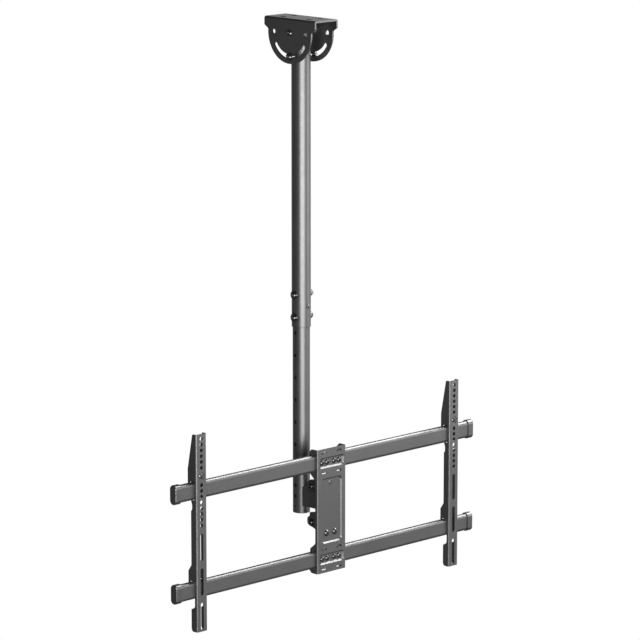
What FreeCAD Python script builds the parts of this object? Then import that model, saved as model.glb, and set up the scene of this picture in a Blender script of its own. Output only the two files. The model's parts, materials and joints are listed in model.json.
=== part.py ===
import FreeCAD, Part
import math
import os
import re
import Sketcher

# A television mount that hangs from a ceiling: a folded bracket, two telescoping poles,
# a tilting head with two rails and two slotted arms that carry the screen.
# Millimetres. Z is up, X runs along the rails and the screen hangs on the -Y side.
# The origin is on the ceiling face, above the axis of the poles.

SIZES = {
    # clearances
    "slip": 0.3,
    "bolt_play": 0.25,
    "weld_gap": 0.1,
    # rounded corners of cut and folded sheet
    "corner_fine": 1,
    "corner": 3,
    "corner_wide": 6,
    # ceiling bracket
    "ceiling_gauge": 4,
    "ceiling_wide": 68,
    "ceiling_long": 157,
    "cheek_round": 66.5,
    "shoulder_drop": 18.5,
    "shoulder_fall": 7.5,
    "ceiling_bend": 4.8,
    "pivot_drop": 31,
    "side_hole_reach": 49.5,
    "side_hole": 10.5,
    "arc_reach": 51,
    "arc_wide": 10,
    "arc_swing": 57.3,
    "lag_wide": 9,
    "lag_long": 20,
    "lag_reach": 40,
    "lag_spread": 15,
    # poles
    "outer_size": 42,
    "outer_gauge": 1.7,
    "outer_top": 17,
    "outer_long": 658,
    "outer_lip": 1.2,
    "swivel_rise": 72,
    "height_pitch": 50,
    "swivel_slot": 8.5,
    "swivel_swing": 31,
    "inner_size": 38,
    "inner_gauge": 1.8,
    "inner_lap": 286,
    "inner_long": 701.8,
    "inner_lip": 0.8,
    "inner_hole": 8.5,
    "index_drop": 297,
    "index_count": 7,
    "foot_hole_rise": 13.8,
    "foot_hole_pitch": 24.5,
    # bolts, washers and nuts
    "bolt_size": 8,
    "bolt_head": 14,
    "bolt_dome": 4.6,
    "bolt_socket": 5,
    "bolt_tip": 1.5,
    "tip_bevel": 0.7,
    "dome_rim": 0.25,
    "dome_crown": 0.36,
    "socket_deep": 0.6,
    "nut_flats": 13,
    "nut_tall": 5.6,
    "nut_collar": 11.4,
    "nut_collar_tall": 2,
    "spacer_size": 14,
    "clamp_washer": 18.5,
    "clamp_washer_gauge": 1.6,
    "saddle_size": 18.8,
    "saddle_gauge": 2.2,
    "tilt_washer": 25.6,
    "tilt_washer_gauge": 1.8,
    "lock_washer": 17,
    "wobble_size": 6,
    "wobble_head": 8.4,
    "wobble_dome": 2.2,
    "wobble_socket": 3,
    "wobble_rise": 25,
    # pole bracket and tilt bracket, drawn from the tilt pivot
    "pivot_rise": 67.8,
    "pivot_reach": 48,
    "ear_round": 13,
    "pole_bracket_wrap": 5,
    "pole_bracket_wide": 24,
    "pole_bracket_gauge": 3,
    "pole_bracket_drop": 49.7,
    "pole_bracket_nose": 14,
    "pole_bracket_heel": 7,
    "tilt_gauge": 3,
    "web_rise": 28,
    "web_shoulder": 4,
    "web_drop": 107,
    "web_foot_wide": 46,
    "ear_foot_drop": 86,
    "lock_drop": 81,
    "lock_reach": 1,
    "lobe_reach": 12.6,
    "lobe_brow": 8.5,
    "lobe_heel": 5.3,
    "lobe_foot": 20.5,
    "lower_ear_drop": 54.6,
    "lower_ear_fall": 4.4,
    "lower_ear_reach": 6,
    "neck_reach": 14,
    # centre plate, drawn from the tilt pivot
    "head_drop": 46.1,
    "head_reach": 47.6,
    "plate_gauge": 2.5,
    "plate_wide": 86.2,
    "plate_tall": 277.4,
    "plate_bend": 3,
    "flange_deep": 25.3,
    "flange_waist": 7,
    "flange_long": 55,
    "flange_slope": 13,
    "flange_toe": 16,
    "flange_toe_cut": 6.6,
    "panel_wide": 62.4,
    "panel_tall": 146,
    "panel_deep": 3,
    "panel_round": 9,
    "window_wide": 73.6,
    "window_tall": 23.3,
    "window_round": 5.5,
    "window_deep": 3.5,
    "tab_spread": 22.5,
    "tab_wide": 8,
    "tab_deep": 11,
    "tab_slot_wide": 14,
    "tab_slot_tall": 5.4,
    "bracket_screw_spread": 12.2,
    "bracket_screw_drop": 97.2,
    "bracket_screw_size": 6,
    "bracket_screw_head": 14.4,
    "bracket_screw_dome": 3.2,
    "rivet_rise": 16.8,
    "rivet_size": 6,
    "rivet_head": 12.4,
    "rivet_dome": 1.4,
    # rails
    "rail_pitch": 215.8,
    "rail_tall": 38.4,
    "rail_deep": 15,
    "rail_round": 7,
    "rail_gauge": 1.8,
    "rail_half": 447,
    "rail_split": 1,
    "rail_screw_near": 10.5,
    "rail_screw_far": 25.5,
    "rail_screw_size": 6,
    "rail_screw_head": 12.5,
    "rail_screw_dome": 3,
    "rail_screw_grip": 3,
    "rail_screw_socket": 4,
    "cap_proud": 2.2,
    "cap_grip": 12.5,
    "cap_wall": 3.5,
    "cap_round": 2.5,
    # arms, drawn from the level midway between the rails
    "arm_inset": 65,
    "arm_wide": 30,
    "arm_gauge": 2.5,
    "arm_bend": 3.5,
    "arm_stand": 7,
    "arm_rise": 230.8,
    "arm_drop": 198.5,
    "arm_lip": 7,
    "hook_wall": 4.2,
    "hook_upper": 46,
    "hook_lower": 41,
    "hook_fade": 13.7,
    "flank_deep": 10,
    "flank_low_deep": 10.7,
    "flank_foot": 17,
    "flank_toe": 6,
    "flank_tip": 4.8,
    "waist_deep": 6.5,
    "waist_rise": 68.5,
    "waist_tall": 9.5,
    "waist_slope": 4.5,
    "arm_play": 0.4,
    "arm_hole": 8.5,
    "arm_pitch": 12.5,
    "arm_top_hole": 220.8,
    "arm_top_count": 6,
    "arm_low_hole": 120.8,
    "arm_low_count": 8,
    "arm_slot_long": 59,
    "arm_slot_first": 14.4,
    "arm_slot_pitch": 75.2,
    "arm_slot_count": 3,
    "dish_rise": 139.6,
    "dish_size": 17.6,
    "dish_deep": 1.3,
    "dish_screw_head": 11,
    "dish_screw_size": 6,
}

doc = FreeCAD.newDocument("tv_ceiling_mount")
sheet = doc.addObject("Spreadsheet::Sheet", "Sizes")
for row, (name, number) in enumerate(SIZES.items(), 1):
    sheet.set(f"A{row}", name)
    sheet.set(f"B{row}", str(number))
    sheet.setAlias(f"B{row}", name)
doc.recompute()

UP = FreeCAD.Vector(0, 0, 1)
WORD = re.compile(r"[a-z_]+")
nodes = []


# Sizes in expressions


def bound(text):
    """An expression on the names of the sheet, as the document reads it."""
    return WORD.sub(lambda word: "Sizes." + word.group() if word.group() in SIZES else word.group(), text)


def value(text):
    return float(sheet.evalExpression(bound(text)))


def tie(thing, name, text):
    thing.setExpression(name, bound(text))


# Bodies, sketches and features


def body_at(label, x="0", y="0", z="0", turn=None):
    """A body whose origin stands at the given place, turned so that its own Z follows `turn`."""
    body = doc.addObject("PartDesign::Body", label)
    body.Label = label
    body.AllowCompound = True
    if turn:
        body.Placement.Rotation = FreeCAD.Rotation(UP, FreeCAD.Vector(*turn))
    for axis, text in zip("xyz", (x, y, z)):
        tie(body, f".Placement.Base.{axis}", text)
    return body


def node(thing):
    nodes.append(thing)
    return thing


def sketch_on(body, plane, offset="0"):
    sketch = body.newObject("Sketcher::SketchObject", body.Label + "_sketch")
    support = next(part for part in body.Origin.OriginFeatures if part.Role == plane)
    sketch.AttachmentSupport = (support, [""])
    sketch.MapMode = "FlatFace"
    tie(sketch, ".AttachmentOffset.Base.z", offset)
    return sketch


def constrain(sketch, rules):
    """Adds constraints at once, each a kind, what it acts on and, for a dimension, its expression."""
    first = sketch.ConstraintCount
    sketch.addConstraint([Sketcher.Constraint(kind, *where, *([value(text)] if text else []))
                          for kind, where, text in rules])
    for number, (_, _, text) in enumerate(rules, first):
        if text:
            tie(sketch, f"Constraints[{number}]", text)


def joined(kind, *where):
    return kind, where, None


def measured(kind, text, *where):
    return kind, where, text


def held(shape, end, x, y):
    """Two dimensions that keep a point of a shape at (x, y)."""
    return [measured("DistanceX", x, -1, 1, shape, end), measured("DistanceY", y, -1, 1, shape, end)]


def arc_about(centre, radius, start, end):
    angles = [math.atan2(spot.y - centre.y, spot.x - centre.x) for spot in (start, end)]
    return Part.ArcOfCircle(Part.Circle(centre, UP, radius), *angles)


def outline(sketch, corners):
    """A closed outline through corners of (x, y), or of (x, y, radius) where one is rounded."""
    spots = [FreeCAD.Vector(value(corner[0]), value(corner[1]), 0) for corner in corners]
    radii = [value(corner[2]) if len(corner) > 2 else 0 for corner in corners]
    count = len(spots)
    arrive, leave, centres = [], [], []
    for place, (spot, radius) in enumerate(zip(spots, radii)):
        back = (spots[place - 1] - spot).normalize()
        ahead = (spots[(place + 1) % count] - spot).normalize()
        half = back.getAngle(ahead) / 2
        arrive.append(spot + back * (radius / math.tan(half)))
        leave.append(spot + ahead * (radius / math.tan(half)))
        centres.append(spot + (back + ahead).normalize() * (radius / math.sin(half)))
    first = sketch.GeometryCount
    rules = []
    for place in range(count):
        sketch.addGeometry(Part.LineSegment(leave[place], arrive[(place + 1) % count]))
    for place, corner in enumerate(corners):
        before, after = first + (place - 1) % count, first + place
        if not radii[place]:
            rules += [joined("Coincident", before, 2, after, 1), *held(after, 1, *corner[:2])]
            continue
        left = (spots[place] - arrive[place]).cross(leave[place] - spots[place]).z > 0
        ends = (arrive[place], leave[place]) if left else (leave[place], arrive[place])
        arc = sketch.addGeometry(arc_about(centres[place], radii[place], *ends))
        point = sketch.addGeometry(Part.Point(spots[place]), True)
        rules += [joined("Tangent", before, 2, arc, 1 if left else 2),
                  joined("Tangent", after, 1, arc, 2 if left else 1),
                  measured("Radius", corner[2], arc),
                  joined("PointOnObject", point, 1, before),
                  joined("PointOnObject", point, 1, after),
                  *held(point, 1, *corner[:2])]
    constrain(sketch, rules)


def block(sketch, left, right, low, high, radius=None):
    corners = [(left, low), (right, low), (right, high), (left, high)]
    outline(sketch, [corner + (radius,) for corner in corners] if radius else corners)


def circle(sketch, x, y, radius):
    centre = FreeCAD.Vector(value(x), value(y), 0)
    ring = sketch.addGeometry(Part.Circle(centre, UP, value(radius)))
    constrain(sketch, [measured("Radius", radius, ring), *held(ring, 3, x, y)])


def upright_slot(sketch, x, y, long, wide):
    """A slot along the sketch's Y, by its middle, its whole length and its width."""
    reach = f"({long} - {wide}) / 2"
    middle = FreeCAD.Vector(value(x), value(y), 0)
    radius = value(f"({wide}) / 2")
    up, side = FreeCAD.Vector(0, value(reach), 0), FreeCAD.Vector(radius, 0, 0)
    circles = [Part.Circle(middle + up, UP, radius), Part.Circle(middle - up, UP, radius)]
    top = sketch.addGeometry(Part.ArcOfCircle(circles[0], 0, math.pi))
    low = sketch.addGeometry(Part.ArcOfCircle(circles[1], math.pi, 2 * math.pi))
    near = sketch.addGeometry(Part.LineSegment(middle + up - side, middle - up - side))
    far = sketch.addGeometry(Part.LineSegment(middle - up + side, middle + up + side))
    chain = (top, near, low, far)
    rules = [joined("Tangent", here, 2, there, 1) for here, there in zip(chain, (near, low, far, top))]
    rules += [joined("Equal", top, low), measured("Radius", f"({wide}) / 2", top)]
    rules += held(top, 3, x, f"{y} + {reach}") + held(low, 3, x, f"{y} - {reach}")
    constrain(sketch, rules)


def arc_slot(sketch, y, reach, wide, swing):
    """A slot that hangs in an arc about the point (0, y), to the same angle on both sides."""
    middle = FreeCAD.Vector(0, value(y), 0)
    angle, radius, half = math.radians(value(swing)), value(reach), value(wide) / 2

    def spot(side, distance):
        return middle + FreeCAD.Vector(side * math.sin(angle), -math.cos(angle), 0) * distance

    far, close = radius + half, radius - half
    outer = sketch.addGeometry(arc_about(middle, far, spot(-1, far), spot(1, far)))
    inner = sketch.addGeometry(arc_about(middle, close, spot(-1, close), spot(1, close)))
    right = sketch.addGeometry(arc_about(spot(1, radius), half, spot(1, far), spot(1, close)))
    left = sketch.addGeometry(arc_about(spot(-1, radius), half, spot(-1, close), spot(-1, far)))
    constrain(sketch, [
        joined("Tangent", outer, 2, right, 1),
        joined("Tangent", right, 2, inner, 2),
        joined("Tangent", inner, 1, left, 1),
        joined("Tangent", left, 2, outer, 1),
        joined("Coincident", outer, 3, inner, 3),
        *held(outer, 3, "0", y),
        *held(right, 3, f"({reach}) * sin({swing})", f"{y} - ({reach}) * cos({swing})"),
        measured("DistanceX", f"-({reach}) * sin({swing})", -1, 1, left, 3),
        measured("Radius", f"({wide}) / 2", right)])


def hexagon(sketch, flats):
    corner = f"{flats} / sqrt(3)"
    outline(sketch, [(f"{corner} * cos({60 * k})", f"{corner} * sin({60 * k})") for k in range(6)])


def feature(body, kind, sketch, length, both, back, taper):
    made = body.newObject("PartDesign::" + kind, f"{body.Label}_{kind}")
    made.Profile = sketch
    tie(made, "Length", length)
    made.SideType = "Symmetric" if both else "One side"
    made.Reversed = back
    made.TaperAngle = taper
    return made


def pad(body, sketch, length, both=False, back=False, taper=0):
    return feature(body, "Pad", sketch, length, both, back, taper)


def pocket(body, sketch, length, both=False, back=False, taper=0):
    """A cut, which has to take something away from the solid."""
    doc.recompute()
    before = body.Tip.Shape.Volume
    made = feature(body, "Pocket", sketch, length, both, back, taper)
    doc.recompute()
    if not made.Shape.Volume < before:
        raise ValueError(body.Label + ": a pocket cuts nothing")
    return made


def spin(body, sketch):
    """A solid of revolution about the sketch's own vertical axis."""
    made = body.newObject("PartDesign::Revolution", body.Label + "_turned")
    made.Profile = sketch
    made.ReferenceAxis = (sketch, ["V_Axis"])
    made.Angle = 360
    return made


def soften(body, radius, chosen):
    """A fillet on the edges that `chosen` picks by their ends."""
    doc.recompute()
    base = body.Tip
    names = [f"Edge{number}" for number, edge in enumerate(base.Shape.Edges, 1)
             if len(edge.Vertexes) == 2 and chosen(*(vertex.Point for vertex in edge.Vertexes))]
    made = body.newObject("PartDesign::Fillet", body.Label + "_fillet")
    made.Base = (base, names)
    tie(made, "Radius", radius)
    return made


def near(number, goal):
    return abs(number - goal) < 0.01


def along_sides(half, axis, level):
    """Picks the edges on the two sides at x = half and x = -half, at one level of another axis."""
    half, level = value(half), value(level)

    def chosen(a, b):
        on_level = near(getattr(a, axis), level) and near(getattr(b, axis), level)
        return on_level and near(a.x, b.x) and near(abs(a.x), half)

    return chosen


def copies(label, body, places):
    """One node of identical pieces: the body's shape at each of the places."""
    links = []
    for x, y, z in places:
        link = doc.addObject("App::Link", label + "_piece")
        link.LinkedObject = body
        link.Placement = body.Placement
        for axis, text in zip("xyz", (x, y, z)):
            tie(link, f".Placement.Base.{axis}", text)
        links.append(link)
    group = doc.addObject("Part::Compound", label)
    group.Label = label
    group.Links = links
    return node(group)


# Fasteners, drawn along their own Z with the seat of the head at zero


def dome_bolt(label, size, head, dome, length, socket, *place, turn):
    """A domed head with a hexagon socket, and a plain shank with a bevelled tip."""
    body = body_at(label, *place, turn=turn)
    profile = sketch_on(body, "XZ_Plane")
    outline(profile, [
        ("0", f"-({length})"),
        (f"{size} / 2 - tip_bevel", f"-({length})"),
        (f"{size} / 2", f"-({length}) + tip_bevel"),
        (f"{size} / 2", "0"),
        (f"{head} / 2", "0"),
        (f"{head} / 2", f"{dome} * dome_rim"),
        (f"{head} * dome_crown", dome, dome),
        ("0", dome)])
    spin(body, profile)
    key = sketch_on(body, "XY_Plane", dome)
    hexagon(key, socket)
    pocket(body, key, f"{dome} * socket_deep")
    return body


def lock_nut(label, size, *place, turn):
    """A hexagon with a round collar, which holds the locking ring."""
    body = body_at(label, *place, turn=turn)
    base = sketch_on(body, "XY_Plane")
    hexagon(base, "nut_flats")
    circle(base, "0", "0", f"{size} / 2 + weld_gap")
    pad(body, base, "nut_tall")
    collar = sketch_on(body, "XY_Plane", "nut_tall")
    circle(collar, "0", "0", "nut_collar / 2")
    circle(collar, "0", "0", f"{size} / 2 + weld_gap")
    pad(body, collar, "nut_collar_tall")
    return body


def ring(label, outer, bore, gauge, *place, turn):
    body = body_at(label, *place, turn=turn)
    base = sketch_on(body, "XY_Plane")
    circle(base, "0", "0", f"{outer} / 2")
    circle(base, "0", "0", f"{bore} / 2")
    pad(body, base, gauge)
    return body


LEFT, RIGHT, FRONT = (-1, 0, 0), (1, 0, 0), (0, -1, 0)
BOLT_BORE = "(bolt_size + 2 * bolt_play)"
BOLT_HOLE = "(bolt_size / 2 + bolt_play)"
SWIVEL_DROP = "(outer_top + outer_long - swivel_rise)"
INNER_TOP = "(outer_top + outer_long - inner_lap)"
PIVOT = ("0", "-pivot_reach", f"pivot_rise - {INNER_TOP} - inner_long")
WEB_BACK = "(head_reach - panel_deep - plate_gauge - tilt_gauge)"
EAR_INNER = "(pole_bracket_wide / 2 + slip)"
EAR_OUTER = "(pole_bracket_wide / 2 + slip + tilt_gauge)"
RAIL_SCREWS = ("-rail_screw_far", "-rail_screw_near", "rail_screw_near", "rail_screw_far")
RAIL_LEVELS = ("rail_pitch / 2", "-rail_pitch / 2")
RAIL_FRONT = "(plate_gauge + window_deep)"


def pivot_place(x="0", y="0", z="0"):
    return x, f"{PIVOT[1]} + {y}", f"{PIVOT[2]} + {z}"


# Ceiling bracket


def ceiling_bracket():
    body = body_at("ceiling_bracket")
    cheek = sketch_on(body, "YZ_Plane")
    low = "-pivot_drop - cheek_round"
    outline(cheek, [
        ("-ceiling_long / 2", "0"),
        ("-ceiling_long / 2", "-shoulder_drop", "corner"),
        ("-cheek_round", "-shoulder_drop - shoulder_fall", "corner"),
        ("-cheek_round", low, "cheek_round - slip"),
        ("cheek_round", low, "cheek_round - slip"),
        ("cheek_round", "-shoulder_drop - shoulder_fall", "corner"),
        ("ceiling_long / 2", "-shoulder_drop", "corner"),
        ("ceiling_long / 2", "0")])
    pad(body, cheek, "ceiling_wide", both=True)
    inside = sketch_on(body, "XZ_Plane")
    side = "ceiling_wide / 2 - ceiling_gauge"
    block(inside, f"-({side})", side, low + " - ceiling_gauge", "-ceiling_gauge")
    pocket(body, inside, "ceiling_long + ceiling_gauge", both=True)
    windows = sketch_on(body, "YZ_Plane")
    circle(windows, "0", "-pivot_drop", BOLT_HOLE)
    circle(windows, "-side_hole_reach", "-pivot_drop", "side_hole / 2")
    circle(windows, "side_hole_reach", "-pivot_drop", "side_hole / 2")
    arc_slot(windows, "-pivot_drop", "arc_reach", "arc_wide", "arc_swing")
    pocket(body, windows, "ceiling_wide + ceiling_gauge", both=True)
    lags = sketch_on(body, "XY_Plane")
    for x in ("-lag_spread", "lag_spread"):
        for y in ("-lag_reach", "lag_reach"):
            upright_slot(lags, x, y, "lag_long", "lag_wide")
    pocket(body, lags, "ceiling_gauge * 3", both=True)
    soften(body, "ceiling_bend - ceiling_gauge", along_sides(side, "z", "-ceiling_gauge"))
    soften(body, "ceiling_bend", along_sides("ceiling_wide / 2", "z", "0"))
    return node(body)


def ceiling_fasteners():
    face = "ceiling_wide / 2"
    reach = "ceiling_wide + nut_tall + nut_collar_tall + bolt_tip"
    node(dome_bolt("pivot_bolt", "bolt_size", "bolt_head", "bolt_dome", reach, "bolt_socket",
                   "-" + face, "0", "-pivot_drop", turn=LEFT))
    node(lock_nut("pivot_nut", "bolt_size", face, "0", "-pivot_drop", turn=RIGHT))
    start = "outer_size / 2 + slip"
    spacer = ring("pivot_spacer", "spacer_size", BOLT_BORE, f"{face} - ceiling_gauge - ({start})",
                  start, "0", "-pivot_drop", turn=RIGHT)
    inner = f"{face} - ceiling_gauge"
    copies("pivot_spacers", spacer, [(start, "0", "-pivot_drop"), (f"-({inner})", "0", "-pivot_drop")])


def clamp_fasteners():
    face = "ceiling_wide / 2"
    z = "-pivot_drop - arc_reach"
    gauge = "clamp_washer_gauge"
    reach = f"ceiling_wide + 2 * {gauge} + 2 * slip + nut_tall + nut_collar_tall + bolt_tip"
    out = f"{face} + slip + {gauge}"
    node(dome_bolt("clamp_bolt", "bolt_size", "bolt_head", "bolt_dome", reach, "bolt_socket",
                   f"-({out})", "0", z, turn=LEFT))
    washer = ring("clamp_washer", "clamp_washer", BOLT_BORE, gauge, face + " + slip", "0", z, turn=RIGHT)
    copies("clamp_washers", washer, [(face + " + slip", "0", z), (f"-({out})", "0", z)])
    node(lock_nut("clamp_nut", "bolt_size", out, "0", z, turn=RIGHT))


# Poles


def tube(label, size, gauge, long, lip, top):
    """A tube that hangs from the level `top`, with rounded outer edges at both ends."""
    body = body_at(label, "0", "0", f"-{top} - {long}")
    wall = sketch_on(body, "XZ_Plane")
    outline(wall, [
        (f"{size} / 2 - {gauge}", "0"),
        (f"{size} / 2", "0", lip),
        (f"{size} / 2", long, lip),
        (f"{size} / 2 - {gauge}", long)])
    spin(body, wall)
    return body


def outer_pole():
    body = tube("outer_pole", "outer_size", "outer_gauge", "outer_long", "outer_lip", "outer_top")
    foot = "outer_top + outer_long"
    holes = sketch_on(body, "YZ_Plane")
    circle(holes, "0", f"{foot} - pivot_drop", BOLT_HOLE)
    circle(holes, "0", f"{foot} - pivot_drop - arc_reach", BOLT_HOLE)
    pocket(body, holes, "outer_size * 2", both=True)
    front = sketch_on(body, "XZ_Plane")
    circle(front, "0", "swivel_rise - wobble_rise", "wobble_size / 2 + weld_gap")
    pocket(body, front, "outer_size", back=True)
    swivel_slots(body, ["swivel_rise", "swivel_rise - height_pitch"])
    return node(body)


def swivel_slots(body, levels):
    """Level slots through both sides of the tube: a sector between round ends at each level."""
    for turn in (-1, 1):
        ends = sketch_on(body, "YZ_Plane")
        ends.AttachmentOffset.Rotation = FreeCAD.Rotation(FreeCAD.Vector(0, turn, 0), value("swivel_swing"))
        tie(ends, ".AttachmentOffset.Rotation.Angle", "swivel_swing")
        for level in levels:
            circle(ends, "0", level, "swivel_slot / 2")
        pocket(body, ends, "outer_size * 2", both=True)
    near_edge, far_edge = "outer_size / 4", "outer_size"
    for level in levels:
        sector = sketch_on(body, "XY_Plane", f"{level} - swivel_slot / 2")
        for side in ("-", ""):
            outline(sector, [
                (side + near_edge, f"-{near_edge} * tan(swivel_swing)"),
                (side + far_edge, f"-{far_edge} * tan(swivel_swing)"),
                (side + far_edge, f"{far_edge} * tan(swivel_swing)"),
                (side + near_edge, f"{near_edge} * tan(swivel_swing)")])
        pocket(body, sector, "swivel_slot", back=True)


def wobble_screw():
    z = f"-{SWIVEL_DROP} - wobble_rise"
    node(dome_bolt("wobble_screw", "wobble_size", "wobble_head", "wobble_dome",
                   "outer_gauge + (outer_size / 2 - outer_gauge - inner_size / 2) / 2", "wobble_socket",
                   "0", "-outer_size / 2", z, turn=FRONT))


def height_fasteners():
    start = "outer_size / 2 + saddle_gauge + slip"
    reach = f"2 * ({start}) + nut_tall + nut_collar_tall + bolt_tip"
    levels = [f"-{SWIVEL_DROP}", f"-{SWIVEL_DROP} - height_pitch"]
    bolt = dome_bolt("height_bolt", "bolt_size", "bolt_head", "bolt_dome", reach, "bolt_socket",
                     f"-({start})", "0", levels[0], turn=LEFT)
    copies("height_bolts", bolt, [(f"-({start})", "0", z) for z in levels])
    nut = lock_nut("height_nut", "bolt_size", start, "0", levels[0], turn=RIGHT)
    copies("height_nuts", nut, [(start, "0", z) for z in levels])
    saddle = body_at("saddle_washer", "0", "0", levels[0])
    disc = sketch_on(saddle, "YZ_Plane")
    circle(disc, "0", "0", "saddle_size / 2")
    circle(disc, "0", "0", BOLT_HOLE)
    pad(saddle, disc, f"2 * ({start})", both=True)
    seat = sketch_on(saddle, "XY_Plane")
    circle(seat, "0", "0", "outer_size / 2 + slip")
    pocket(saddle, seat, "saddle_size * 2", both=True)
    copies("saddle_washers", saddle, [("0", "0", z) for z in levels])


def inner_pole():
    body = tube("inner_pole", "inner_size", "inner_gauge", "inner_long", "inner_lip", INNER_TOP)
    holes = sketch_on(body, "YZ_Plane")
    for k in range(-2, int(value("index_count"))):
        circle(holes, "0", f"inner_long - index_drop - {k} * height_pitch", "inner_hole / 2")
    for k in range(2):
        circle(holes, "0", f"inner_long + swivel_rise - inner_lap - {k} * height_pitch", "inner_hole / 2")
    for k in range(3):
        circle(holes, "0", f"foot_hole_rise + {k} * foot_hole_pitch", "inner_hole / 2")
    pocket(body, holes, "inner_size * 2", both=True)
    return node(body)


# Pole bracket and tilt bracket

def pole_bracket():
    body = body_at("pole_bracket", *PIVOT)
    side = sketch_on(body, "YZ_Plane")
    heel = "pivot_reach - inner_size / 2 + pole_bracket_wrap"
    outline(side, [
        ("-ear_round", "ear_round", "ear_round - slip"),
        ("ear_round", "ear_round", "ear_round - slip"),
        ("ear_round", "-pole_bracket_heel", "corner"),
        (heel, "-pole_bracket_heel", "corner_fine"),
        (heel, "-pole_bracket_drop", "corner_fine"),
        ("-pole_bracket_nose", "-pole_bracket_drop", "corner"),
        ("-ear_round", "-ear_round", "corner_wide")])
    pad(body, side, "pole_bracket_wide", both=True)
    inside = sketch_on(body, "XY_Plane")
    half = "pole_bracket_wide / 2 - pole_bracket_gauge"
    block(inside, f"-({half})", half, "-ear_round * 2",
          "pivot_reach - inner_size / 2 - pole_bracket_gauge")
    pocket(body, inside, "pole_bracket_drop * 4", both=True)
    seat = sketch_on(body, "XY_Plane")
    circle(seat, "0", "pivot_reach", "inner_size / 2 + weld_gap")
    pocket(body, seat, "pole_bracket_drop * 4", both=True)
    pin = sketch_on(body, "YZ_Plane")
    circle(pin, "0", "0", BOLT_HOLE)
    pocket(body, pin, "pole_bracket_wide * 2", both=True)
    return node(body)


def tilt_bracket():
    body = body_at("tilt_bracket", *PIVOT)
    side = sketch_on(body, "YZ_Plane")
    front = f"-{WEB_BACK} - tilt_gauge"
    relief = f"-{WEB_BACK} + tilt_gauge"
    lobe = "lock_reach + lobe_reach"
    outline(side, [
        (front, "-ear_foot_drop"),
        (relief, "-ear_foot_drop", "corner_fine"),
        (relief, "-lock_drop - lobe_foot", "corner"),
        (lobe, "-lock_drop - lobe_heel", "corner_wide"),
        (lobe, "-lock_drop + lobe_brow", "corner"),
        ("lower_ear_reach", "-lock_drop + lobe_brow + corner_wide", "corner_fine"),
        ("lower_ear_reach", "-lower_ear_drop - lower_ear_fall", "corner_fine"),
        ("-neck_reach", "-lower_ear_drop", "corner_fine"),
        ("-neck_reach", "-ear_round * 2", "corner_wide"),
        ("ear_round", "-ear_round", "ear_round - slip"),
        ("ear_round", "ear_round", "ear_round - slip"),
        (front, "web_rise - web_shoulder")])
    pad(body, side, f"2 * {EAR_OUTER}", both=True)
    inside = sketch_on(body, "XY_Plane")
    block(inside, f"-{EAR_INNER}", EAR_INNER, f"-{WEB_BACK}", "ear_round * 3")
    pocket(body, inside, "web_drop * 3", both=True)
    web = sketch_on(body, "XZ_Plane", WEB_BACK)
    foot = "web_foot_wide / 2"
    outline(web, [
        (f"-{EAR_OUTER}", "web_rise", "corner"),
        (f"-{EAR_OUTER}", "-ear_foot_drop", "corner_fine"),
        (f"-{foot}", "-ear_foot_drop", "corner"),
        (f"-{foot}", "-web_drop", "corner_wide"),
        (foot, "-web_drop", "corner_wide"),
        (foot, "-ear_foot_drop", "corner"),
        (EAR_OUTER, "-ear_foot_drop", "corner_fine"),
        (EAR_OUTER, "web_rise", "corner")])
    pad(body, web, "tilt_gauge")
    pins = sketch_on(body, "YZ_Plane")
    circle(pins, "0", "0", BOLT_HOLE)
    circle(pins, "lock_reach", "-lock_drop", BOLT_HOLE)
    pocket(body, pins, f"4 * {EAR_OUTER}", both=True)
    panel_holes(body, WEB_BACK)
    return node(body)


def panel_holes(body, depth):
    """The holes that the rivet and the two screws share in the panel and the bracket's web."""
    holes = sketch_on(body, "XZ_Plane", depth)
    circle(holes, "0", "rivet_rise", "rivet_size / 2 + weld_gap")
    for x in ("-bracket_screw_spread", "bracket_screw_spread"):
        circle(holes, x, "-bracket_screw_drop", "bracket_screw_size / 2 + weld_gap")
    pocket(body, holes, "plate_gauge * 4", both=True)


def tilt_fasteners(name, washer_size, washer_gauge, y, z):
    face = f"{EAR_OUTER} + {washer_gauge}"
    reach = f"2 * ({face}) + nut_tall + nut_collar_tall + bolt_tip"
    spot = pivot_place(y=y, z=z)[1:]
    node(dome_bolt(f"tilt_{name}_bolt", "bolt_size", "bolt_head", "bolt_dome", reach, "bolt_socket",
                   f"-({face})", *spot, turn=LEFT))
    washer = ring(f"tilt_{name}_washer", washer_size, BOLT_BORE, washer_gauge, EAR_OUTER, *spot,
                  turn=RIGHT)
    copies(f"tilt_{name}_washers", washer, [(EAR_OUTER,) + spot, (f"-({face})",) + spot])
    node(lock_nut(f"tilt_{name}_nut", "bolt_size", face, *spot, turn=RIGHT))


# Centre plate

RECESS_SLOPE = 45


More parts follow.
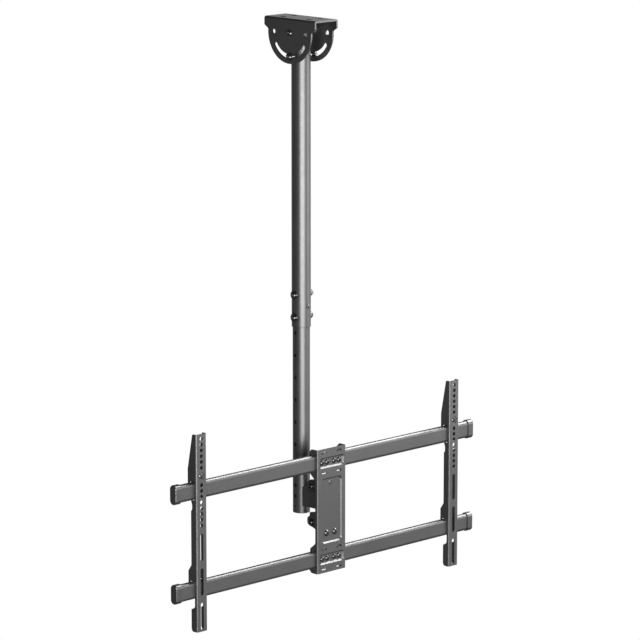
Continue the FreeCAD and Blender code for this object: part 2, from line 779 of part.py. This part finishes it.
def centre_plate():
    body = body_at("centre_plate", *pivot_place(y="-head_reach", z="-head_drop"))
    side = sketch_on(body, "YZ_Plane")
    half = "plate_tall / 2"
    upper = [
        ("flange_waist", f"{half} - flange_long - flange_slope", "corner_wide"),
        ("flange_deep - plate_gauge", f"{half} - flange_long", "corner"),
        ("flange_deep", f"{half} - flange_toe"),
        ("flange_deep", f"{half} - corner_wide", "corner"),
        ("flange_deep - flange_toe_cut", half, "corner_fine")]
    lower = [(y, f"-({z})", *rounding) for y, z, *rounding in reversed(upper)]
    outline(side, [("0", half), ("0", f"-({half})")] + lower + upper)
    pad(body, side, "plate_wide", both=True)
    inside = sketch_on(body, "XY_Plane")
    inner = "plate_wide / 2 - plate_gauge"
    block(inside, f"-({inner})", inner, "plate_gauge", "flange_deep * 2", "corner_fine")
    pocket(body, inside, "plate_tall * 2", both=True)
    holes = sketch_on(body, "YZ_Plane")
    for level in RAIL_LEVELS:
        block(holes, f"{RAIL_FRONT} - arm_play", f"{RAIL_FRONT} + rail_deep + arm_play",
              f"{level} - rail_tall / 2 - arm_play", f"{level} + rail_tall / 2 + arm_play",
              "rail_round + arm_play")
    pocket(body, holes, "plate_wide * 2", both=True)
    for level in RAIL_LEVELS:
        recess(body, "window_wide / 2", level, "window_tall / 2", "window_round", "window_deep")
    recess(body, "panel_wide / 2", "0", "panel_tall / 2", "panel_round", "panel_deep")
    screws = sketch_on(body, "XZ_Plane")
    for level in RAIL_LEVELS:
        for x in RAIL_SCREWS:
            circle(screws, x, level, "rail_screw_size / 2 + bolt_play")
    circle(screws, "0", "head_drop + rivet_rise", "rivet_size / 2 + weld_gap")
    for x in ("-bracket_screw_spread", "bracket_screw_spread"):
        circle(screws, x, "head_drop - bracket_screw_drop", "bracket_screw_size / 2 + weld_gap")
    pocket(body, screws, "plate_gauge * 6", both=True)
    slots = sketch_on(body, "XZ_Plane")
    for x, low, high in tab_slots():
        block(slots, f"{x} - tab_slot_wide / 2", f"{x} + tab_slot_wide / 2", low, high)
    pocket(body, slots, "plate_gauge * 6", both=True)
    tabs = sketch_on(body, "XZ_Plane")
    for x, low, high in tab_slots():
        inner_edge = low if "+ rail_tall / 2" in low else f"{high} - plate_gauge"
        block(tabs, f"{x} - tab_wide / 2", f"{x} + tab_wide / 2", inner_edge, f"{inner_edge} + plate_gauge")
    pad(body, tabs, "tab_deep", back=True)
    soften(body, "plate_bend", along_sides("plate_wide / 2", "y", "0"))
    return node(body)


def tab_slots():
    """Where the tabs are lanced, above and below each rail: middle, low edge and high edge."""
    found = []
    for level in RAIL_LEVELS:
        over = f"{level} + rail_tall / 2 + slip"
        under = f"{level} - rail_tall / 2 - slip"
        for x in ("-tab_spread", "tab_spread"):
            found.append((x, over, over + " + tab_slot_tall"))
            found.append((x, under + " - tab_slot_tall", under))
    return found


def recess(body, half_wide, level, half_tall, radius, deep):
    """A pressed recess: a tapered swell on the back, and a tapered hollow of even wall in front."""
    grown = f"plate_gauge * tan({RECESS_SLOPE / 2})"
    low, high = f"{level} - {half_tall}", f"{level} + {half_tall}"
    swell = sketch_on(body, "XZ_Plane", "-plate_gauge")
    block(swell, f"-{half_wide} - {grown}", f"{half_wide} + {grown}",
          f"{low} - {grown}", f"{high} + {grown}", f"{radius} + {grown}")
    pad(body, swell, deep, back=True, taper=-RECESS_SLOPE)
    mouth = sketch_on(body, "XZ_Plane")
    block(mouth, f"-{half_wide}", half_wide, low, high, radius)
    pocket(body, mouth, deep, taper=-RECESS_SLOPE)


def plate_fasteners():
    floor = "-head_reach + panel_deep"
    reach = "plate_gauge + tilt_gauge + bolt_tip"
    rivet = dome_bolt("bracket_rivet", "rivet_size", "rivet_head", "rivet_dome", reach, "rivet_size / 2",
                      *pivot_place(y=floor, z="rivet_rise"), turn=FRONT)
    node(rivet)
    spot = pivot_place(y=floor, z="-bracket_screw_drop")[1:]
    screw = dome_bolt("bracket_screw", "bracket_screw_size", "bracket_screw_head", "bracket_screw_dome",
                      reach, "rail_screw_socket", "0", *spot, turn=FRONT)
    copies("bracket_screws", screw,
           [("-bracket_screw_spread",) + spot, ("bracket_screw_spread",) + spot])
    for name, level in zip(("upper", "lower"), RAIL_LEVELS):
        spot = pivot_place(y="-head_reach + window_deep", z=f"-head_drop + {level}")[1:]
        screw = dome_bolt(f"rail_screw_{name}", "rail_screw_size", "rail_screw_head", "rail_screw_dome",
                          "plate_gauge + rail_gauge + rail_screw_grip", "rail_screw_socket",
                          "0", *spot, turn=FRONT)
        copies(f"rail_screws_{name}", screw, [(x,) + spot for x in RAIL_SCREWS])


# Rails and caps


def rail(name, side, level):
    sign = "-" if side < 0 else ""
    place = pivot_place(y=f"-head_reach + {RAIL_FRONT}", z=f"-head_drop + {level}")
    body = body_at(name, *place)
    start = f"{sign}rail_split / 2"
    section = sketch_on(body, "YZ_Plane", start)
    block(section, "0", "rail_deep", "-rail_tall / 2", "rail_tall / 2", "rail_round")
    block(section, "rail_gauge", "rail_deep - rail_gauge", "-rail_tall / 2 + rail_gauge",
          "rail_tall / 2 - rail_gauge", "rail_round - rail_gauge")
    pad(body, section, "rail_half - rail_split / 2", back=side < 0)
    screws = sketch_on(body, "XZ_Plane")
    for x in ("rail_screw_near", "rail_screw_far"):
        circle(screws, sign + x, "0", "rail_screw_size / 2 + bolt_play")
    pocket(body, screws, "rail_gauge * 3", both=True)
    return node(body)


def end_cap(name, side, level):
    """A moulded cap whose sleeve grips the outside of the rail's end."""
    place = pivot_place(y=f"-head_reach + {RAIL_FRONT}", z=f"-head_drop + {level}")
    body = body_at(name, *place)
    sign = "-" if side < 0 else ""
    grow = "cap_proud"
    start = sketch_on(body, "YZ_Plane", f"{sign}(rail_half - cap_grip)")
    block(start, f"-{grow}", f"rail_deep + {grow}", f"-rail_tall / 2 - {grow}", f"rail_tall / 2 + {grow}",
          f"rail_round + {grow}")
    pad(body, start, "cap_grip + cap_wall", back=side < 0)
    tip = value(f"{sign}(rail_half + cap_wall)")
    soften(body, "cap_round", lambda a, b: near(a.x, tip) and near(b.x, tip))
    bore = sketch_on(body, "YZ_Plane", f"{sign}(rail_half + weld_gap)")
    block(bore, "-slip / 2", "rail_deep + slip / 2",
          "-rail_tall / 2 - slip / 2", "rail_tall / 2 + slip / 2", "rail_round + slip / 2")
    pocket(body, bore, "cap_grip * 2", back=side < 0)
    return node(body)


# Arms

ARM_REACH = "(rail_half - arm_inset)"
DISH_SLOPE = 30


def arm(name, side):
    sign = "-" if side < 0 else ""
    front = f"-head_reach + {RAIL_FRONT} - arm_stand"
    body = body_at(name, *pivot_place(x=f"{sign}{ARM_REACH}", y=front, z="-head_drop"))
    outline_of_arm(body)
    keeper_gap(body)
    inside = sketch_on(body, "XY_Plane")
    half = "arm_wide / 2 - arm_gauge"
    block(inside, f"-({half})", half, "arm_gauge", "arm_wide * 2", "arm_bend - arm_gauge")
    pocket(body, inside, "arm_rise * 4", both=True)
    face = sketch_on(body, "XZ_Plane")
    for k in range(int(value("arm_top_count"))):
        circle(face, "0", f"arm_top_hole - {k} * arm_pitch", "arm_hole / 2")
    for k in range(int(value("arm_low_count"))):
        circle(face, "0", f"arm_low_hole - {k} * arm_pitch", "arm_hole / 2")
    for k in range(int(value("arm_slot_count"))):
        upright_slot(face, "0", f"-arm_slot_first - {k} * arm_slot_pitch", "arm_slot_long", "arm_hole")
    circle(face, "0", "dish_rise", "dish_screw_size / 2 + weld_gap")
    pocket(body, face, "arm_gauge * 6", both=True)
    soften(body, "arm_bend", along_sides("arm_wide / 2", "y", "0"))
    dish = sketch_on(body, "XZ_Plane")
    circle(dish, "0", "dish_rise", "dish_size / 2")
    pocket(body, dish, "dish_deep", taper=-DISH_SLOPE)
    return node(body)


def outline_of_arm(body):
    """The side of the channel, with a hook over the top of each rail."""
    side = sketch_on(body, "YZ_Plane")
    front = "arm_stand - arm_play"
    back = "arm_stand + rail_deep + arm_play"
    hook = f"{back} + hook_wall"

    def notch(level):
        top = f"{level} + rail_tall / 2 + arm_play"
        return [(hook, f"{top} - arm_lip", "corner_fine"), (back, f"{top} - arm_lip", "corner_fine"),
                (back, top, "corner"), (front, top, "corner")]

    upper, lower = (notch(level) for level in RAIL_LEVELS)
    shelf = "rail_pitch / 2 - rail_tall / 2 - arm_play"
    foot = "-rail_pitch / 2 - rail_tall / 2 - flank_foot"
    outline(side, [
        ("0", "-arm_drop"),
        ("arm_stand + flank_low_deep - flank_toe / 2", "-arm_drop", "corner"),
        ("arm_stand + flank_low_deep", "-arm_drop + flank_toe", "corner"),
        ("arm_stand + flank_low_deep", foot + " - flank_toe", "corner"),
        (front, foot, "corner_wide"),
        *reversed(lower),
        (hook, "-rail_pitch / 2 + hook_lower", "corner"),
        ("arm_stand + flank_deep", "-rail_pitch / 2 + hook_lower + hook_fade", "corner_wide"),
        ("arm_stand + flank_deep", "waist_rise - waist_slope", "corner_fine"),
        ("arm_stand + waist_deep", "waist_rise", "corner"),
        ("arm_stand + waist_deep", "waist_rise + waist_tall", "corner"),
        ("arm_stand + flank_deep", shelf, "corner_fine"),
        (front, shelf, "corner"),
        *reversed(upper),
        (hook, "rail_pitch / 2 + hook_upper"),
        ("arm_stand + flank_tip", "arm_rise", "corner"),
        ("0", "arm_rise")])
    pad(body, side, "arm_wide", both=True)


def keeper_gap(body):
    """The side toward +X is open below the upper rail, where only the other side keeps the rail down."""
    gap = sketch_on(body, "YZ_Plane")
    block(gap, "arm_stand - arm_play", "arm_stand + flank_deep * 2", "waist_rise",
          "rail_pitch / 2 - rail_tall / 2")
    pocket(body, gap, "arm_wide", back=True)


def arm_screw(name, side):
    sign = "-" if side < 0 else ""
    seat = f"-head_reach + {RAIL_FRONT} - arm_stand + dish_deep"
    place = pivot_place(x=f"{sign}{ARM_REACH}", y=seat, z="-head_drop + dish_rise")
    node(dome_bolt(name, "dish_screw_size", "dish_screw_head", "dish_deep",
                   "arm_gauge - dish_deep + bolt_tip", "rail_screw_socket", *place, turn=FRONT))


ceiling_bracket()
ceiling_fasteners()
clamp_fasteners()
outer_pole()
wobble_screw()
height_fasteners()
inner_pole()
pole_bracket()
tilt_bracket()
tilt_fasteners("pivot", "tilt_washer", "tilt_washer_gauge", "0", "0")
tilt_fasteners("lock", "lock_washer", "clamp_washer_gauge", "lock_reach", "-lock_drop")
centre_plate()
plate_fasteners()
for side, hand in ((-1, "left"), (1, "right")):
    for row, level in zip(("upper", "lower"), RAIL_LEVELS):
        rail(f"rail_{row}_{hand}", side, level)
        end_cap(f"end_cap_{row}_{hand}", side, level)
    arm(f"arm_{hand}", side)
    arm_screw(f"arm_screw_{hand}", side)

doc.recompute()
for thing in doc.Objects:
    if "Invalid" in thing.State or "Error" in thing.State:
        raise ValueError(f"{thing.Label} failed: {thing.State}")
os.makedirs("parts", exist_ok=True)
for part in nodes:
    shape = part.Shape
    if shape.isNull() or not shape.isValid():
        raise ValueError(part.Label + " has no valid shape")
    shape.exportStep(f"parts/{part.Label}.step")
    box = shape.BoundBox
    print(part.Label, len(shape.Solids), round(shape.Volume), [round(v, 1) for v in (
        box.XMin, box.XMax, box.YMin, box.YMax, box.ZMin, box.ZMax)])
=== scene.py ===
import json
import math

import bpy
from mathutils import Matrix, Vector

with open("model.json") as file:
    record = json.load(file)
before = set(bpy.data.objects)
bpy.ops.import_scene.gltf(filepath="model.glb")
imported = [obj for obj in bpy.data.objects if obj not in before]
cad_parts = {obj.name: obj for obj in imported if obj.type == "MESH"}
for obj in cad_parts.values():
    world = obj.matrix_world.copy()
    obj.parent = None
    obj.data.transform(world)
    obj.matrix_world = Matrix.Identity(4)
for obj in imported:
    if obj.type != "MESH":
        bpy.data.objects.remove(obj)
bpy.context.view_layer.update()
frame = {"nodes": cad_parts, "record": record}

# A television mount in satin black powder coat, which hangs from a ceiling against white.
# All its shapes are the CAD's own. This script adds the finishes, the stage, the lamps and the camera.


# Camera, fitted to the photograph. The lens and the sensor are in millimetres.

CAMERA_PLACE = (-5.2174, -5.4790, 0.8474)
CAMERA_PITCH = math.radians(11.276)
CAMERA_TURN = math.radians(43.908)
CAMERA_LENS = 199.2
CAMERA_SENSOR = 36.0
CAMERA_SIGHT = 100.0


def add_camera():
    """A camera that is turned to the right of straight ahead and pitched down."""
    data = bpy.data.cameras.new("camera")
    data.lens = CAMERA_LENS
    data.sensor_width = CAMERA_SENSOR
    data.clip_end = CAMERA_SIGHT
    camera = bpy.data.objects.new("camera", data)
    camera.location = CAMERA_PLACE
    camera.rotation_euler = (math.pi / 2 - CAMERA_PITCH, 0, -CAMERA_TURN)
    bpy.context.scene.collection.objects.link(camera)
    bpy.context.scene.camera = camera


# Node trees


def tree_of(owner):
    """The emptied node tree of a material or a world."""
    owner.use_nodes = True
    owner.node_tree.nodes.clear()
    return owner.node_tree


def join(tree, given, socket):
    """Links a socket to another one, or sets it to a number, a vector or a colour."""
    if isinstance(given, bpy.types.NodeSocket):
        tree.links.new(given, socket)
    else:
        socket.default_value = given


def put(tree, kind, **inputs):
    """A node with its inputs set from numbers, colours or other sockets."""
    node = tree.nodes.new(kind)
    for name, given in inputs.items():
        join(tree, given, node.inputs[name.replace("_", " ")])
    return node


def calculate(tree, operation, *terms, kind="ShaderNodeMath"):
    """The result of a math node, or of a vector math node that gives a number."""
    node = tree.nodes.new(kind)
    node.operation = operation
    for term, socket in zip(terms, node.inputs):
        join(tree, term, socket)
    return node.outputs["Value"]


def noise(tree, place, scale, detail=3.0, rough=0.5):
    """A noise with its largest lumps about 1 / scale metres wide."""
    node = put(tree, "ShaderNodeTexNoise", Vector=place, Scale=scale, Detail=detail, Roughness=rough)
    return node.outputs["Fac"]


def remap(tree, value, levels, results):
    """Turns a value between two levels into one between two results, and holds it there outside them."""
    node = put(tree, "ShaderNodeMapRange", Value=value, From_Min=levels[0], From_Max=levels[1],
               To_Min=results[0], To_Max=results[1])
    return node.outputs["Result"]


def blend_colour(tree, share, first, second):
    """The first colour where the share is none, and the second where it is one."""
    mix = tree.nodes.new("ShaderNodeMix")
    mix.data_type = "RGBA"
    for name, given in (("Factor", share), ("A", first), ("B", second)):
        join(tree, given, mix.inputs[name])
    return mix.outputs["Result"]


def blend_shader(tree, share, first, second):
    """The first shader where the share is none, and the second where it is one."""
    mix = put(tree, "ShaderNodeMixShader", Fac=share)
    tree.links.new(first, mix.inputs[1])
    tree.links.new(second, mix.inputs[2])
    return mix.outputs["Shader"]


# Finishes. A noise runs between the two tones of each pair, in linear colour, or the two roughnesses.

POWDER_TONES = ((0.018, 0.018, 0.019, 1), (0.026, 0.026, 0.027, 1))
POWDER_ROUGH = (0.36, 0.4)
OXIDE_TONES = ((0.004, 0.004, 0.0045, 1), (0.01, 0.01, 0.0105, 1))
OXIDE_ROUGH = (0.12, 0.18)
# Bright metal painted on the clamp bolt's shank as a highlight
SHANK_HIGHLIGHT_TONES = ((0.42, 0.42, 0.41, 1), (0.6, 0.6, 0.59, 1))
SHANK_HIGHLIGHT_ROUGH = 0.34
ZINC_TONES = ((0.5, 0.5, 0.48, 1), (0.72, 0.72, 0.7, 1))
ZINC_ROUGH = (0.22, 0.4)
MOULDED_TONES = ((0.014, 0.014, 0.015, 1), (0.026, 0.026, 0.027, 1))
MOULDED_ROUGH = (0.28, 0.38)

# The blacks' index of refraction and their gloss, of which 0.5 is plain and 1 mirrors twice as much
BLACK_IOR = 1.6
BLACK_GLOSS = 1.0

# The levels between which most of a noise lies, and those of its core
MOST_OF_NOISE = (0.3, 0.7)
CORE_OF_NOISE = (0.35, 0.65)

# How far from the middle plane the clamp bolt's shank is painted bright as a highlight, which is almost to
# the cheeks
SHANK_HIGHLIGHT_HALF = 0.0295


def start_finish(name):
    """A new material, its node tree, and the place on the object that its noises follow."""
    material = bpy.data.materials.new(name)
    tree = tree_of(material)
    return material, tree, put(tree, "ShaderNodeTexCoord").outputs["Object"]


def bump(tree, height, strength, depth, over=None):
    """The normal of a bump with its depth in metres. It can lie over the normal of another bump."""
    node = put(tree, "ShaderNodeBump", Height=height, Strength=strength, Distance=depth)
    if over is not None:
        join(tree, over, node.inputs["Normal"])
    return node.outputs["Normal"]


def finish_with(tree, **inputs):
    """Ends a material's tree with its surface shader."""
    shader = put(tree, "ShaderNodeBsdfPrincipled", **inputs)
    put(tree, "ShaderNodeOutputMaterial", Surface=shader.outputs["BSDF"])


def powder_coat(name):
    """Baked black powder: a fine orange peel and a slow drift of tone and gloss."""
    material, tree, place = start_finish(name)
    peel = noise(tree, place, scale=900.0, detail=2.0)
    ripple = noise(tree, place, scale=160.0, detail=2.0)
    drift = noise(tree, place, scale=9.0, detail=4.0)
    sheen = noise(tree, place, scale=60.0, detail=4.0)
    peeled = bump(tree, peel, strength=0.25, depth=0.00005)
    finish_with(
        tree,
        Base_Color=blend_colour(tree, remap(tree, drift, CORE_OF_NOISE, (0, 1)), *POWDER_TONES),
        Roughness=remap(tree, sheen, MOST_OF_NOISE, POWDER_ROUGH),
        IOR=BLACK_IOR,
        Specular_IOR_Level=BLACK_GLOSS,
        Normal=bump(tree, ripple, strength=0.1, depth=0.00006, over=peeled))
    return material


def black_oxide(name, highlight_half=None):
    """Polished black of a fastener. A shank can get bright metal painted on as a highlight, as far as the
    given distance from the middle plane.
    """
    material, tree, place = start_finish(name)
    grain = noise(tree, place, scale=1400.0)
    cloud = noise(tree, place, scale=180.0)
    polish = noise(tree, place, scale=300.0)
    colour = blend_colour(tree, cloud, *OXIDE_TONES)
    rough = remap(tree, polish, MOST_OF_NOISE, OXIDE_ROUGH)
    metallic = 0.0
    if highlight_half is not None:
        across = put(tree, "ShaderNodeSeparateXYZ", Vector=place).outputs["X"]
        metallic = calculate(tree, "LESS_THAN", calculate(tree, "ABSOLUTE", across), highlight_half)
        colour = blend_colour(tree, metallic, colour, blend_colour(tree, cloud, *SHANK_HIGHLIGHT_TONES))
        rough = remap(tree, metallic, (0, 1), (rough, SHANK_HIGHLIGHT_ROUGH))
    finish_with(
        tree,
        Base_Color=colour,
        Roughness=rough,
        Metallic=metallic,
        IOR=BLACK_IOR,
        Specular_IOR_Level=BLACK_GLOSS,
        Normal=bump(tree, grain, strength=0.2, depth=0.00003))
    return material


def zinc_plate(name):
    """Bright zinc plate with the faint cloud of a barrel finish."""
    material, tree, place = start_finish(name)
    cloud = noise(tree, place, scale=220.0, detail=4.0)
    grain = noise(tree, place, scale=1200.0)
    finish_with(
        tree,
        Base_Color=blend_colour(tree, cloud, *ZINC_TONES),
        Roughness=remap(tree, cloud, MOST_OF_NOISE, ZINC_ROUGH),
        Metallic=1.0,
        Normal=bump(tree, grain, strength=0.2, depth=0.00006))
    return material


def moulded_plastic(name):
    """Fine spark-eroded texture of a black moulded cap."""
    material, tree, place = start_finish(name)
    grain = noise(tree, place, scale=1500.0, detail=4.0, rough=0.7)
    drift = noise(tree, place, scale=40.0)
    finish_with(
        tree,
        Base_Color=blend_colour(tree, drift, *MOULDED_TONES),
        Roughness=remap(tree, grain, MOST_OF_NOISE, MOULDED_ROUGH),
        IOR=BLACK_IOR,
        Specular_IOR_Level=BLACK_GLOSS,
        Normal=bump(tree, grain, strength=0.2, depth=0.00005))
    return material


def dress(by_slot, by_node):
    """Gives each CAD node the finish named for it, or else the one of its slot."""
    slots = {part["node"]: part["material_slot"] for part in frame["record"]["subparts"]}
    for name, thing in frame["nodes"].items():
        thing.data.materials.clear()
        thing.data.materials.append(by_node.get(name, by_slot[slots[name]]))


# Floor and room. Their levels are shares of full white.

WHITE = (1, 1, 1, 1)

# The floor lies FLOOR_DROP below the ceiling. To the camera its middle is plain white by a share of
# FLOOR_PALE, so that it keeps the shadow, and it is all white from the second distance of FLOOR_FADE.
FLOOR_DROP = 4.0
FLOOR_SIZE = 12.0
FLOOR_TONES = ((0.6, 0.6, 0.6, 1), (0.612, 0.612, 0.612, 1))
FLOOR_PALE = 0.62
FLOOR_FADE = (3.8, 5.8)

# Reflections show a dim floor, and a white room that is darker above, below and towards DARK_SIDE, which
# is behind left. DARK_FADE holds cosines of the angle from there, and the others sines of the elevation.
FLOOR_MIRRORED = 0.15
DARK_SIDE = (-0.8, 0.6, 0.0)
DARK_FADE = (0.15, 0.75)
DARK_LEVEL = 0.19
HIGH_FADE = (0.05, 0.5)
HIGH_LEVEL = 0.1
LOW_FADE = (-0.32, -0.06)
LOW_LEVEL = 0.55

# How strongly the room itself lights what isn't a mirror
ROOM_LIGHT = 0.13


def seen_directly(tree):
    """One for rays from the camera or through glass."""
    path = put(tree, "ShaderNodeLightPath")
    return calculate(tree, "MAXIMUM", path.outputs["Is Camera Ray"], path.outputs["Is Transmission Ray"])


def seen_mirrored(tree):
    """One for rays from a glossy surface."""
    return put(tree, "ShaderNodeLightPath").outputs["Is Glossy Ray"]


def floor_finish():
    """A pale floor that keeps the mount's shadow and fades to the white of the room."""
    material, tree, place = start_finish("pale_floor")
    grain = noise(tree, place, scale=40.0, detail=2.0)
    plain = put(tree, "ShaderNodeBsdfDiffuse", Color=blend_colour(tree, grain, *FLOOR_TONES))
    seen = seen_directly(tree)
    level = remap(tree, seen, (0, 1), (FLOOR_MIRRORED, 1.0))
    white = put(tree, "ShaderNodeEmission", Color=WHITE, Strength=level)
    from_middle = calculate(tree, "LENGTH", place, kind="ShaderNodeVectorMath")
    pale = remap(tree, from_middle, FLOOR_FADE, (FLOOR_PALE, 1.0))
    share = remap(tree, seen, (0, 1), (seen_mirrored(tree), pale))
    surface = blend_shader(tree, share, plain.outputs["BSDF"], white.outputs["Emission"])
    put(tree, "ShaderNodeOutputMaterial", Surface=surface)
    return material


def pale_floor():
    """The floor plane, which is no part of the mount."""
    bpy.ops.mesh.primitive_plane_add(size=FLOOR_SIZE, location=(0, 0, -FLOOR_DROP))
    floor = bpy.context.object
    floor.name = "floor"
    floor.data.materials.append(floor_finish())


def white_room():
    """White all round to the camera. Reflections see it too, but for its darker sides."""
    world = bpy.data.worlds.new("studio")
    bpy.context.scene.world = world
    tree = tree_of(world)
    way = put(tree, "ShaderNodeTexCoord").outputs["Generated"]
    aside = calculate(tree, "DOT_PRODUCT", way, DARK_SIDE, kind="ShaderNodeVectorMath")
    height = put(tree, "ShaderNodeSeparateXYZ", Vector=way).outputs["Z"]
    lit = remap(tree, aside, DARK_FADE, (1.0, DARK_LEVEL))
    high = remap(tree, height, HIGH_FADE, (1.0, HIGH_LEVEL))
    low = remap(tree, height, LOW_FADE, (LOW_LEVEL, 1.0))
    mirrored = calculate(tree, "MULTIPLY", calculate(tree, "MULTIPLY", lit, high), low)
    unseen = remap(tree, seen_mirrored(tree), (0, 1), (ROOM_LIGHT, mirrored))
    level = remap(tree, seen_directly(tree), (0, 1), (unseen, 1.0))
    back = put(tree, "ShaderNodeBackground", Color=WHITE, Strength=level)
    put(tree, "ShaderNodeOutputWorld", Surface=back.outputs["Background"])


# Lamps

# The height on the pole that every lamp faces
LAMP_TARGET = -0.6


def softbox(name, azimuth, foot, top, distance, width, level):
    """A rectangular lamp, as tall as from foot to top, which then leans to face the mount.

    Its azimuth is in degrees from the right of the mount, so that 270 is in front of it. Its level sets
    its brightness, whatever its size."""
    turn = math.radians(azimuth)
    tall = top - foot
    place = Vector((distance * math.cos(turn), distance * math.sin(turn), (foot + top) / 2))
    data = bpy.data.lights.new(name, "AREA")
    data.shape = "RECTANGLE"
    data.size = width
    data.size_y = tall
    data.energy = level * math.pi * width * tall
    lamp = bpy.data.objects.new(name, data)
    lamp.location = place
    lamp.rotation_euler = (Vector((0, 0, LAMP_TARGET)) - place).to_track_quat("-Z", "Y").to_euler()
    lamp.visible_camera = False
    bpy.context.scene.collection.objects.link(lamp)


# The scene

bpy.context.scene.view_settings.view_transform = "Standard"
add_camera()
pale_floor()
white_room()
softbox("key", azimuth=243, foot=-1.6, top=0.12, distance=3.0, width=2.7, level=8.8)
softbox("right", azimuth=316, foot=-1.2, top=-0.02, distance=3.0, width=1.5, level=3.6)
softbox("upper_right", azimuth=345, foot=0.5, top=2.2, distance=2.4, width=2.05, level=14.0)

# The rivet is coated with the plate, and the clamp bolt's shank has bright metal painted on as a
# highlight.
powder = powder_coat("black_powder")
slot_finishes = {
    "black_steel": powder,
    "black_fastener": black_oxide("black_oxide"),
    "zinc": zinc_plate("zinc_plate"),
    "black_plastic": moulded_plastic("moulded_black")}
node_finishes = {
    "clamp_bolt": black_oxide("painted_shank_highlight", SHANK_HIGHLIGHT_HALF),
    "bracket_rivet": powder}
dress(slot_finishes, node_finishes)
